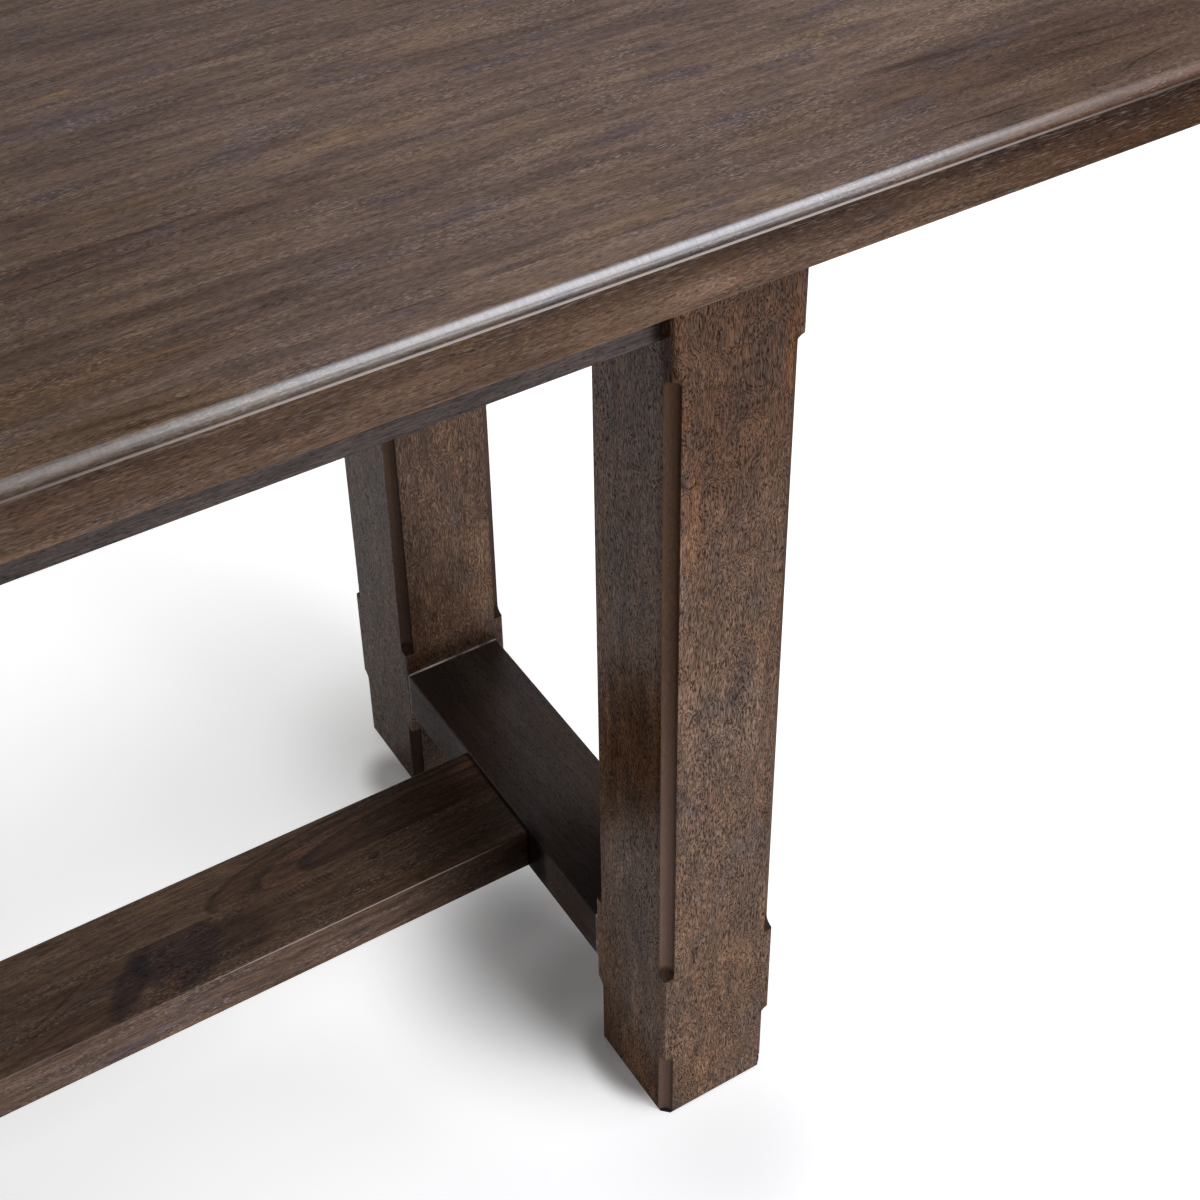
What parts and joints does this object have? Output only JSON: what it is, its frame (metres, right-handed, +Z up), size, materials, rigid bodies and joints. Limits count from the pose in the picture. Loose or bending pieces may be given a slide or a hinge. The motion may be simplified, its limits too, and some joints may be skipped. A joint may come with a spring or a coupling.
{
  "type": "bar table",
  "caption": "Bar-height trestle table in dark stained wood, with a moulded plank top, square legs with stopped corner coves, low rails and a long stretcher.",
  "frame": {"origin": "on the floor, under the middle of the top", "axes": "+X along the table, +Y across it from the front to the back, +Z up"},
  "size_m": [1.829, 0.787, 1.067],
  "materials": {
    "top_wood": "dark brown stain, satin lacquer",
    "leg_wood": "dark brown stain, satin lacquer",
    "rail_wood": "dark brown stain, satin lacquer",
    "felt": "dark felt",
    "steel": "zinc plated"
  },
  "bodies": {
    "root": {"top_board_1": "top_wood", "top_board_2": "top_wood", "top_board_3": "top_wood", "top_board_4": "top_wood", "top_board_5": "top_wood", "top_board_6": "top_wood", "top_board_7": "top_wood", "top_board_8": "top_wood", "top_board_9": "top_wood", "apron_front": "leg_wood", "apron_back": "leg_wood", "leg_front_right": "leg_wood", "leg_front_left": "leg_wood", "leg_back_right": "leg_wood", "leg_back_left": "leg_wood", "foot_pad_front_right": "felt", "foot_pad_front_left": "felt", "foot_pad_back_right": "felt", "foot_pad_back_left": "felt", "head_rail_right": "rail_wood", "head_rail_left": "rail_wood", "low_rail_right": "rail_wood", "low_rail_left": "rail_wood", "long_stretcher_front_piece": "rail_wood", "long_stretcher_back_piece": "rail_wood", "top_bolts": "steel"}
  },
  "joints": []
}
